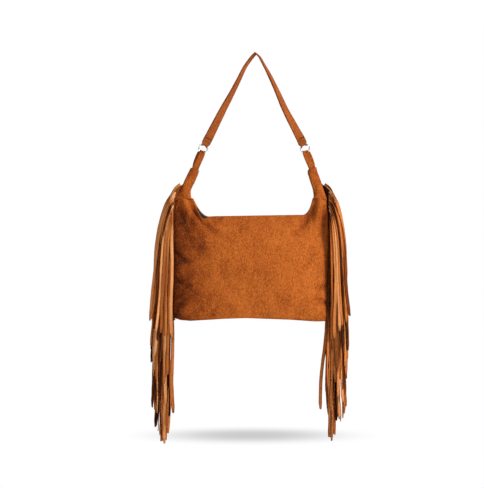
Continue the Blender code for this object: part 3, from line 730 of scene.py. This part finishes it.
def strap_leg(label, side):
    """Rows of one leg: bend to ring, round the wire from behind and up again in front."""
    ring, pull, across, eye = strap_end(label, side)
    leg = [at_pixel(*p) for p in STRAP_LEGS[label][:-1]] + [eye]
    reach = RING_WIRE + LOOP_THICKNESS / 2 + LOOP_CLEARANCE
    rows = []
    count = 72
    for i in range(count):
        t = i / (count - 1)
        point = along_points(leg, t)
        along = (along_points(leg, t + 0.01) - along_points(leg, t - 0.01)).normalized()
        twist = mix(APEX_TWIST, math.pi / 2, t**TWIST_SWEEP)
        wide = Vector((math.sin(twist), math.cos(twist), 0))
        wide = (wide - along * wide.dot(along)).normalized()
        behind = reach * smooth_step(t, 0.84, 0.98)
        width = mix(STRAP_WIDTH, LOOP_WIDTH, smooth_step(t, 0.955, 0.995))
        width += STRAP_WAVER * wave(point, 0.02, side)
        bow = smooth_step(t, 0.95, 1.0)
        rows.append((point + Vector((0, behind, 0)), wide, width, ring, bow))
    for point in fold_round(eye, pull, 1, reach)[1:]:
        rows.append((point, across, LOOP_WIDTH, ring, 1.0))
    steps = 10
    for i in range(1, steps + 1):
        t = i / steps
        up = eye + pull * (FLAP_LENGTH * t)
        front = mix(-reach, -FLAP_SET, smooth_step(t, 0.0, 0.6))
        width = mix(LOOP_WIDTH, STRAP_WIDTH - 0.0015, smooth_step(t, 0.0, 0.4))
        bow = 1 - smooth_step(t, 0.0, 0.5)
        rows.append((up + Vector((0, front, 0)), across, width, ring, bow))
    return rows


def strap_line():
    """Rows of the whole strap, from the left flap over the bend to the right flap."""
    left = strap_leg("left", -1)
    top = Vector((math.sin(APEX_TWIST), math.cos(APEX_TWIST), 0))
    bend = (at_pixel(*BEND_TOP), top, STRAP_WIDTH, Vector(), 0.0)
    return list(reversed(left)) + [bend] + strap_leg("right", 1)


def band_from_rows(rows, across, end_tone):
    """A band through rows of (point, direction across, width, centre, bow), darker at its edges.
    A bow of 0 is straight across, and 1 follows a circle about the centre."""

    def place(s, v):
        point, wide, width, centre, bow = rows[int(round(v * (len(rows) - 1)))]
        offset = width * (s - 0.5)
        straight = point + wide * offset
        if bow == 0:
            return straight
        arm = Vector((point.x - centre.x, 0, point.z - centre.z))
        turned = offset / arm.length
        round_it = arm * math.cos(turned) + wide * (arm.length * math.sin(turned))
        return straight.lerp(centre + round_it + Vector((0, point.y, 0)), bow)

    bm = sheet_mesh(across, len(rows) - 1, place)
    # Painted shade: the band's edges and ends are darker than its middle
    tone = bm.verts.layers.float.new("tone")
    for vert in bm.verts:
        vert[tone] = BAND_TONE
        ends = min((vert.co - rows[0][0]).length, (vert.co - rows[-1][0]).length)
        if vert.is_boundary:
            vert[tone] = end_tone if ends < rows[0][2] / 2 + 0.0002 else BAND_EDGE_TONE
    return bm


def make_strap():
    """Shoulder strap of folded suede, with its ends folded back round the rings."""
    bm = band_from_rows(strap_line(), 8, FLAP_END_TONE)
    piece = finish_piece(
        "shoulder_strap", bm, [SUEDE_STRAP], "strap", ["strap"], wall=STRAP_THICKNESS,
        even=False,
    )
    full = piece.vertex_groups.new(name="full thickness")
    rings = [ring_centre(side) for _, side in SIDES]
    for vert in piece.data.vertices:
        near = min((vert.co - ring).length for ring in rings)
        full.add([vert.index], smooth_step(near, THIN_TO, FULL_FROM), "REPLACE")
    wall = piece.modifiers["wall"]
    wall.vertex_group = full.name
    wall.thickness_vertex_group = LOOP_THICKNESS / STRAP_THICKNESS
    soft = piece.modifiers.new("soft edge", "BEVEL")
    soft.width = SOFT_EDGE
    soft.segments = 2
    soft.limit_method = "ANGLE"


def add_stitches(name, lines, outward, body):
    """Short rounded stitches along lines of (start, end), raised towards outward."""
    bm = bmesh.new()
    for start, end in lines:
        run = end - start
        count = max(int(run.length / STITCH_PITCH), 1)
        along = run.normalized()
        turn = along.to_track_quat("X", "Z").to_matrix().to_4x4()
        size = Matrix.Diagonal((STITCH_LENGTH / 2, THREAD_HALF, THREAD_HALF, 1))
        for i in range(count):
            middle = start + run * ((i + 0.5) / count) + outward * (THREAD_HALF * 0.4)
            bmesh.ops.create_uvsphere(
                bm, u_segments=8, v_segments=6, radius=1.0,
                matrix=Matrix.Translation(middle) @ turn @ size,
            )
    finish_piece(name, bm, [THREAD], body)


def make_stitching():
    """Two rows of stitches across each of the strap's flaps."""
    for label, side in SIDES:
        _, pull, across, eye = strap_end(label, side)
        front = Vector((0, -FLAP_SET - STRAP_THICKNESS / 2, 0))
        half = across * (STRAP_WIDTH * 0.42)
        lines = []
        for inset in FLAP_STITCH_INSETS:
            middle = eye + pull * (FLAP_LENGTH - inset) + front
            lines.append((middle - half, middle + half))
        add_stitches(f"{label}_flap_stitching", lines, Vector((0, -1, 0)), "strap")


# Tabs: pixels down the middle of each, from under the ring into the horn
TAB_LINES = {
    "left": ((202.2, 153), (200.2, 158), (197.9, 163), (195.8, 168), (193.6, 175)),
    "right": ((305.6, 153), (307.5, 158), (309.7, 163), (311.8, 168), (313.7, 175)),
}


def make_tabs():
    """Tabs: a strip of suede folded through each ring, both plies sewn into the horn."""
    for label, side in SIDES:
        ring = ring_centre(side)
        first = at_pixel(*TAB_LINES[label][0])
        pull = (first - ring).normalized()
        eye = ring + pull * (RING_RADIUS - TAB_EYE_LIFT)
        reach = TAB_EYE_RADIUS + PLY / 2
        line = [eye] + [at_pixel(*p) for p in TAB_LINES[label]]
        across = Vector((-pull.z, 0, pull.x))
        fold = [(p, across, TAB_FOLD_WIDTH, ring, 1.0) for p in fold_round(eye, pull, 1, reach)]
        plies = {}
        for _, face in FACES:
            rows = []
            count = 26
            for i in range(1, count):
                t = i / (count - 1)
                apart = mix(reach, PLY_HALF_GAP, smooth_step(t, 0.0, 0.5))
                stray = BACK_PLY_SHIFT if face > 0 else 0.0
                shift = side * stray * math.sin(math.pi * min(t + 0.12, 1))
                point = along_points(line, t) + Vector((shift, face * apart, 0))
                width = mix(TAB_FOLD_WIDTH, TAB_WIDTH, smooth_step(t, 0.0, 0.22))
                ahead = along_points(line, t + 0.03) - along_points(line, t - 0.03)
                wide = Vector((-ahead.z, 0, ahead.x)).normalized()
                rows.append((point, wide, width, ring, 1 - smooth_step(t, 0.0, 0.35)))
            plies[face] = rows
        bm = band_from_rows(list(reversed(plies[1])) + fold + plies[-1], 6, TAB_END_TONE)
        piece = finish_piece(
            f"{label}_tab_suede", bm, [SUEDE], None, [f"{label}_tab"], wall=PLY, even=False
        )
        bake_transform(piece)


def make_rings():
    """Round wire rings, polished."""
    for label, side in SIDES:
        bm = bmesh.new()
        bmesh.ops.create_circle(bm, segments=18, radius=RING_WIRE)
        centre = ring_centre(side)
        for vert in bm.verts:
            vert.co = Vector((RING_RADIUS + vert.co.x, vert.co.y, 0)) + centre
        bmesh.ops.spin(
            bm, geom=bm.edges[:] + bm.verts[:], cent=centre, axis=(0, 1, 0),
            angle=2 * math.pi, steps=72, use_merge=True,
        )
        bmesh.ops.recalc_face_normals(bm, faces=bm.faces)
        finish_piece(
            f"{label}_nickel_ring", bm, [NICKEL], f"{label}_ring", [f"{label}_ring"]
        )


# Fringe


def hang_places(side, generator):
    """Where each strip of a band hangs, from the top strip down: its x, its depth and its share
    of the way out. They stand round a quarter of an oval, the top ones in order and the rest by
    the golden ratio, and those from higher up hang in front of those from below."""
    inner, outer = FRINGE_SPAN[side]
    places = []
    for k in range(STRIPS):
        turn = (k * GOLDEN + 0.4 + generator.uniform(-0.05, 0.05)) % 1.0
        if k < FAN_STRIPS:
            turn = FAN_TURN * k / FAN_STRIPS
        share, bulge = math.cos(math.pi / 2 * turn), math.sin(math.pi / 2 * turn)
        fall = k / STRIPS
        narrowing = 1 - NARROWING[side] * smooth_step(fall, 0.72, 0.98)
        swing = smooth_step(fall, 0.2, 0.4) * (1 - 0.55 * smooth_step(fall, 0.36, 0.55))
        low = inner - side * INNER_SWING[side] * swing
        reach = mix(low, outer, share**0.85 * narrowing)
        depth = FRINGE_NEAR + FRINGE_HALF_DEPTH * bulge * (1 - 0.72 * fall)
        depth *= 1 - generator.uniform(0.0, 0.75) * smooth_step(fall, 0.15, 0.45)
        over_body = (reach - inner) * side < OVER_BODY
        depth = max(depth, BODY_CLEARANCE if over_body else FRINGE_NEAR)
        places.append((at_pixel(reach, 0).x, depth, share))
    return places


def side_x(side, z):
    """The side seam, up the body's edge and the horn's outer edge."""
    label = "left" if side < 0 else "right"
    outer = [at_pixel(*p) for p in HORN_EDGES[label][0]]
    if z > NECK_Z:
        return edge_x(outer, z)
    return edge_x(LEFT_EDGE if side < 0 else RIGHT_EDGE, z)


def fan_out(side, drop):
    """Share of the way out that a strip has gone at a drop below its root."""
    quick = 1 - math.exp(-drop / QUICK_DROOP)
    slow = 1 - math.exp(-drop / DROOP[side])
    return mix(slow, quick, QUICK_SHARE[side])


def walk_down(middle, length):
    """Distances along a strip's middle line, each with the drop reached there."""
    step = length / WALK_STEPS
    walked, drop = 0.0, 0.0
    table = [(walked, drop)]
    while walked < length:
        walked += (middle(drop + step) - middle(drop)).length
        drop += step
        table.append((walked, drop))
    return table


def drop_at(table, distance):
    """The drop reached at a distance along a strip."""
    low, high = 0, len(table) - 1
    while high - low > 1:
        half = (low + high) // 2
        if table[half][0] <= distance:
            low = half
        else:
            high = half
    share = (distance - table[low][0]) / max(table[high][0] - table[low][0], 1e-9)
    return mix(table[low][1], table[high][1], min(max(share, 0.0), 1.0))


def strip_place(side, face, k, places, generator):
    """Function that places points of one strip: across from 0 to 1 and along from 0 to 1."""
    hang_x, depth, share = places[k]
    pitch = (FRINGE_TOP_Z - BASE_Z - STRIP_WIDTH) / (STRIPS - 0.5)
    root_z = FRINGE_TOP_Z - STRIP_WIDTH / 2 - pitch * (k + (0.5 if face > 0 else 0.0))
    root = Vector((side_x(side, root_z) + side * HEADER_DEPTH, face * ROOT_DEPTH, root_z))
    hang_y = face * depth
    angle = math.radians(mix(85, 32, share))
    length = STRIP_LENGTH * generator.uniform(*LENGTH_SPREAD)
    length *= 1 - LOW_TRIM[side] * smooth_step(k, 26, 37)
    sway_x, sway_y = generator.uniform(-1, 1), generator.uniform(-1, 1)
    phase, bend = generator.uniform(0, 6.28), generator.uniform(0.5, 1.3)
    lean = math.radians(generator.uniform(-MOST_LEAN, MOST_LEAN))
    curl = math.radians(generator.uniform(-MOST_CURL, MOST_CURL))
    cut = generator.uniform(-0.5, 0.5)
    seed = generator.uniform(0, 90)
    stray = 0.0
    if (side, face, k) in STRAYS:
        stray = STRAY_REACH
        hang_x = at_pixel(STRAYS[(side, face, k)], 0).x
    outer_part = smooth_step(k, 0, 4) * (1 - smooth_step(k, 6, 15))
    flare = share * mix(0.15, 1.0, outer_part) * FLARE[side]

    def middle(drop):
        out = fan_out(side, drop)
        down = drop / length
        x = root.x + (hang_x - root.x) * out
        x += side * flare * down**3 * (1.0 + 0.4 * sway_x)
        y = root.y + (hang_y - root.y) * (1 - math.exp(-drop / SPREAD))
        loose = smooth_step(down, 0.12, 1.0)
        x += SWAY * loose * (sway_x + bend * math.sin(phase + 7.5 * down))
        x -= side * stray * smooth_step(down, 0.35, 1.0)
        y += DEPTH_SWAY * loose * (sway_y + bend * math.cos(phase + 6.0 * down))
        x += STRIP_WAVER * wave(Vector((seed, 0, drop)), 0.022, 1)
        return Vector((x, y, root_z - drop))

    table = walk_down(middle, length)
    tangent = Vector((-side * math.sin(angle), face * math.cos(angle) * 0.8, 0)).normalized()

    def place(s, v):
        sideways = 2 * s - 1
        distance = length * v**ROOT_PACKING
        distance += CUT_SLANT * cut * sideways * smooth_step(v, 0.9, 1.0)
        drop_here = drop_at(table, max(distance, 0.0))
        point = middle(drop_here)
        ahead = middle(drop_here + 0.002)
        along = (ahead - point).normalized()
        turned = math.pi / 2 * (1 - math.exp(-drop_here / TURN))
        upright = (Vector((0, 0, 1)) - along * along.z).normalized()
        wide = upright * math.cos(turned) + tangent * math.sin(turned)
        wide = (wide - along * wide.dot(along)).normalized()
        out = along.cross(wide)
        loose = smooth_step(v, 0.22, 0.6)
        twist = (lean + curl * (v - 0.4)) * loose
        twist += 0.25 * wave(Vector((seed, 3, drop_here)), 0.05, 2) * loose
        wide, out = (
            wide * math.cos(twist) + out * math.sin(twist),
            out * math.cos(twist) - wide * math.sin(twist),
        )
        half = STRIP_WIDTH / 2 * (1 - TIP_NARROWING * smooth_step(v, 0.965, 1.0))
        half *= 1 + 0.10 * wave(Vector((seed, 5, distance)), 0.014, 3)
        cup = STRIP_CUP * (1 - sideways**2) * math.sin(phase + 5 * v)
        return point + wide * (half * sideways) + out * cup

    return place


def add_header(bm, tone, side, face, top_x):
    """Sewn edge of a band: a flap down the seam, drawn out by the strips that fan from its top."""
    header = bmesh.ops.create_grid(bm, x_segments=1, y_segments=50, size=1.0)
    reach = HEADER_SHARE * abs(top_x - side_x(side, FRINGE_TOP_Z))
    for vert in header["verts"]:
        s, v = (vert.co.x + 1) / 2, (vert.co.y + 1) / 2
        z = mix(BASE_Z + 0.001, FRINGE_TOP_Z, v)
        drop = FRINGE_TOP_Z - z
        fan = min(reach * fan_out(side, drop), HEADER_FAN)
        fan *= 1 - smooth_step(drop, 0.05, 0.09)
        out = -HEADER_TUCK * (1 - s)
        out += max(fan, HEADER_FLAP * min(drop / 0.02, 1.0)) * s
        deep = face * (ROOT_DEPTH + HEADER_LIFT * s**2)
        # The header is painted in the darkest shade
        vert[tone] = HEADER_SHADE
        vert.co = Vector((side_x(side, z) + side * out, deep, z - HEADER_DROP * s))


def make_fringe(label, side, row, face, generator):
    """One band of cut strips, sewn into the side seam."""
    places = hang_places(side, generator)
    bm = bmesh.new()
    tone = bm.verts.layers.float.new("tone")
    for k in range(STRIPS):
        place = strip_place(side, face, k, places, generator)
        made = bmesh.ops.create_grid(bm, x_segments=4, y_segments=26, size=1.0)
        # Painted shade: strips hung nearer the body, the dark share and each strip's edges are
        # darker; the spread is random tone
        hidden = 1 - min(places[k][1] / (FRINGE_NEAR + FRINGE_HALF_DEPTH), 1.0)
        dark = generator.random() < DARK_SHARE
        shade = SIDE_SHADE[side] + HIDDEN_SHADE * hidden + generator.uniform(*SHADE_SPREAD)
        shade += DARK_SHADE if dark else LIGHT_SHADE
        flipped = generator.random() < FLIPPED_SHARE
        for vert in made["verts"]:
            s, v = (vert.co.x + 1) / 2, (vert.co.y + 1) / 2
            vert[tone] = shade + (EDGE_SHADE if abs(s - 0.5) > 0.4 else 0.0)
            vert.co = place(s, v)
        bm.normal_update()
        strip_faces = {f for vert in made["verts"] for f in vert.link_faces}
        wanted = Vector((side, face * 0.6, 0))
        outward = sum(f.calc_area() * f.normal.dot(wanted) for f in strip_faces)
        if (outward < 0) != flipped:
            bmesh.ops.reverse_faces(bm, faces=list(strip_faces))
    add_header(bm, tone, side, face, places[0][0])
    name = f"{label}_fringe_{row}_suede"
    piece = finish_piece(
        name, bm, [STRIP_FACE, SUEDE_REVERSE, SUEDE_EDGE], "bag",
        [f"{label}_fringe_{row}"], wall=STRIP_THICKNESS, edge=2,
    )


def make_all_fringe():
    """Both bands of both sides."""
    generator = random.Random(11)
    for label, side in SIDES:
        for row, face in FACES:
            make_fringe(label, side, row, face, generator)


# Inside and zip


LINING_SHARES = (0.88, 0.74)
LINING_FLOOR_GAP, LINING_BASE_GAP = 0.0006, 0.0050
FACING_DEPTH = 0.011
FACING_ENDS = (0.026, 0.015)
FACING_SET = 0.0016
SLIDER_CLEARANCE = 0.0008
TOOTH_PITCH = 0.0030
TOOTH_SHARE = 0.62
TOOTH_BEVEL = 0.0002


def make_lining():
    """Lining pouch, hanging inside the panels from the zip tapes."""
    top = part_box("lining")[1][2]
    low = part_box("lining")[0][2] + LINING_FLOOR_GAP

    def place(s, v):
        angle = 2 * math.pi * s
        narrow = mix(*LINING_SHARES, smooth_step(v, 0.7, 1.0))
        u = math.copysign(abs(math.cos(angle)) ** 0.6, math.cos(angle)) * narrow
        face = 1 if math.sin(angle) >= 0 else -1
        x = BODY_MIDDLE + BODY_HALF_WIDTH * u * 0.97
        z = mix(max(low, base_z(x) + LINING_BASE_GAP), top, max((v - 0.1) / 0.9, 0.0))
        inwards = 0.006 * smooth_step(abs(u), 0.5, 0.75)
        deep = max(half_depth(u, z) - WALL - 0.0016 - inwards, 0.0015)
        deep *= min(v / 0.1, 1.0) * min(abs(math.sin(angle)) * 4, 1.0)
        fold = 0.0006 * wave(Vector((x, face, z)), 0.02, 6)
        return Vector((x, face * max(deep - abs(fold), 0.0), z))

    bm = sheet_mesh(96, 40, place)
    piece = finish_piece(
        "lining_cloth", bm, [LINING], "bag", ["lining", "inner_pocket"],
        wall=CLOTH_WALL,
    )


def middle_share(s):
    """1 in the middle of the mouth and near 0 at its ends, where the panels crease inwards."""
    return smooth_step(min(s, 1 - s), 0.0, 0.12)


def make_mouth_facing():
    """Dark facing that joins the zip tapes to the mouth, just inside each panel's edge."""
    for label, face in FACES:

        def place(s, v, face=face):
            x = mix(MOUTH_LEFT.x - FACING_ENDS[0], MOUTH_RIGHT.x + FACING_ENDS[1], s)
            u = (x - BODY_MIDDLE) / BODY_HALF_WIDTH
            z = top_z(x, face) - FACING_SET - FACING_DEPTH * (1 - v)
            deep = half_depth(u, z) - WALL - 0.0008
            in_mouth = mix(min(SLIDER_HALF_DEPTH + SLIDER_CLEARANCE, deep), deep, v)
            return Vector((x, face * mix(0.0012, in_mouth, middle_share(s)), z))

        bm = sheet_mesh(80, 5, place)
        finish_piece(f"mouth_facing_{label}", bm, [LINING], "bag", wall=CLOTH_WALL)


def make_zip():
    """Rows of teeth on the tapes; the slider, pull, stops and tapes keep their shape."""
    tapes = ("zip_tape_front", "zip_tape_back")
    for name in tapes + ("zip_slider", "zip_pull", "zip_stop_left", "zip_stop_right"):
        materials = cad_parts[name].data.materials
        materials.clear()
        materials.append(ZIP_TAPE if name in tapes else ZIP_METAL)
    for row, face in FACES:
        low, high = (Vector(c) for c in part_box(f"zip_teeth_{row}"))
        count = int((high.x - low.x) / TOOTH_PITCH)
        bm = bmesh.new()
        for i in range(count):
            made = bmesh.ops.create_cube(bm, size=1.0)["verts"]
            size = (TOOTH_PITCH * TOOTH_SHARE, high.y - low.y, high.z - low.z)
            bmesh.ops.scale(bm, verts=made, vec=size)
            x = low.x + TOOTH_PITCH * i + TOOTH_PITCH * (0.25 if face > 0 else 0.75)
            middle = Vector((x, (low.y + high.y) / 2, (low.z + high.z) / 2))
            bmesh.ops.translate(bm, verts=made, vec=middle)
        bmesh.ops.bevel(
            bm, geom=bm.edges[:], offset=TOOTH_BEVEL, affect="EDGES", segments=1, profile=0.5,
            material=-1,
        )
        finish_piece(
            f"zip_teeth_{row}_metal", bm, [ZIP_METAL], "bag", [f"zip_teeth_{row}"]
        )


# Stage, light and camera

FLOOR_Z = -0.872
FLOOR_HALF = 6.0
DEEPEST_SHADE = 0.60
POOL_SHIFT, POOL_SCALE = (0.025, -1.30, 0), (2.87, 5.2, 1)
SURROUND_LIGHT = 0.30
# Lamps: where each stands, what it is aimed at, its size in metres and its power in watts
LAMPS = {
    "key": ((2.1, -1.5, 1.2), (0, 0, -0.40), 0.6, 84),
    "rear": ((-1.4, 2.6, 0.8), (0, 0, -0.45), 1.8, 26),
    "fill": ((-0.6, -2.6, 0.5), (0, 0, -0.45), 1.6, 9),
}


def seen_by(tree, other):
    """1 for rays from the camera and for another kind, 0 for the rest."""
    rays = add(tree, "LightPath").outputs
    both = {0: rays["Is Camera Ray"], 1: rays[other]}
    return add(tree, "Math", both, operation="MAXIMUM").outputs[0]


def make_stage():
    """Pale floor with the soft pool of shade that the photograph shows under the bag."""
    bm = bmesh.new()
    bmesh.ops.create_grid(bm, x_segments=1, y_segments=1, size=FLOOR_HALF)
    floor = new_object("floor", bm)
    floor.location = (0, 0, FLOOR_Z)
    made, tree, shader = new_material("pale_floor", Roughness=0.9)
    shader.inputs["Base Color"].default_value = (0.92, 0.92, 0.92, 1)
    place = add(tree, "TexCoord").outputs["Object"]
    moved = {"Vector": place, "Location": POOL_SHIFT, "Scale": POOL_SCALE}
    pool = add(tree, "Mapping", moved, vector_type="POINT").outputs[0]
    reach = add(tree, "VectorMath", {0: pool}, operation="LENGTH").outputs["Value"]
    limits = {"Value": reach, "To Min": DEEPEST_SHADE, "To Max": 1.0}
    shade = add(tree, "MapRange", limits, interpolation_type="SMOOTHERSTEP").outputs[0]
    glow = add(tree, "Emission", {"Strength": 1.0})
    tree.links.new(shade, glow.inputs["Color"])
    mixed = add(tree, "MixShader", {0: seen_by(tree, "Is Glossy Ray")})
    tree.links.new(shader.outputs[0], mixed.inputs[1])
    tree.links.new(glow.outputs[0], mixed.inputs[2])
    tree.links.new(mixed.outputs[0], tree.nodes["Material Output"].inputs["Surface"])
    floor.data.materials.append(made)


def make_world():
    """White surroundings, softer as light than as seen."""
    world = bpy.data.worlds.new("white_studio")
    bpy.context.scene.world = world
    world.use_nodes = True
    tree = world.node_tree
    ground = tree.nodes["Background"]
    seen = seen_by(tree, "Is Transmission Ray")
    strength = add(
        tree, "MapRange", {"Value": seen, "To Min": SURROUND_LIGHT, "To Max": 1.0}
    ).outputs[0]
    ground.inputs["Color"].default_value = (1, 1, 1, 1)
    tree.links.new(strength, ground.inputs["Strength"])


def add_lamp(name, place, target, size, power):
    """A soft square lamp aimed at a point."""
    light = bpy.data.lights.new(name, "AREA")
    light.size = size
    light.energy = power
    lamp = bpy.data.objects.new(name, light)
    lamp.location = place
    lamp.rotation_euler = (Vector(target) - Vector(place)).to_track_quat("-Z", "Y").to_euler()
    bpy.context.scene.collection.objects.link(lamp)


def make_camera():
    """Level view of the front, framed as the photograph is."""
    view = bpy.data.cameras.new("camera")
    view.lens = 100
    view.sensor_fit = "HORIZONTAL"
    view.sensor_width = 36
    camera = bpy.data.objects.new("camera", view)
    middle = at_pixel(PHOTO_WIDTH / 2, PHOTO_HEIGHT / 2)
    distance = PHOTO_WIDTH * PIXEL * view.lens / view.sensor_width
    camera.location = (middle.x, -distance, middle.z)
    camera.rotation_euler = (math.pi / 2, 0, 0)
    bpy.context.scene.collection.objects.link(camera)
    bpy.context.scene.camera = camera


make_camera()
make_stage()
make_world()
for lamp_name, facts in LAMPS.items():
    add_lamp(lamp_name, *facts)
make_panels()
make_base()
make_horns()
make_strap()
make_stitching()
make_tabs()
make_rings()
make_all_fringe()
make_lining()
make_mouth_facing()
make_zip()
bpy.context.scene.view_settings.view_transform = "Standard"
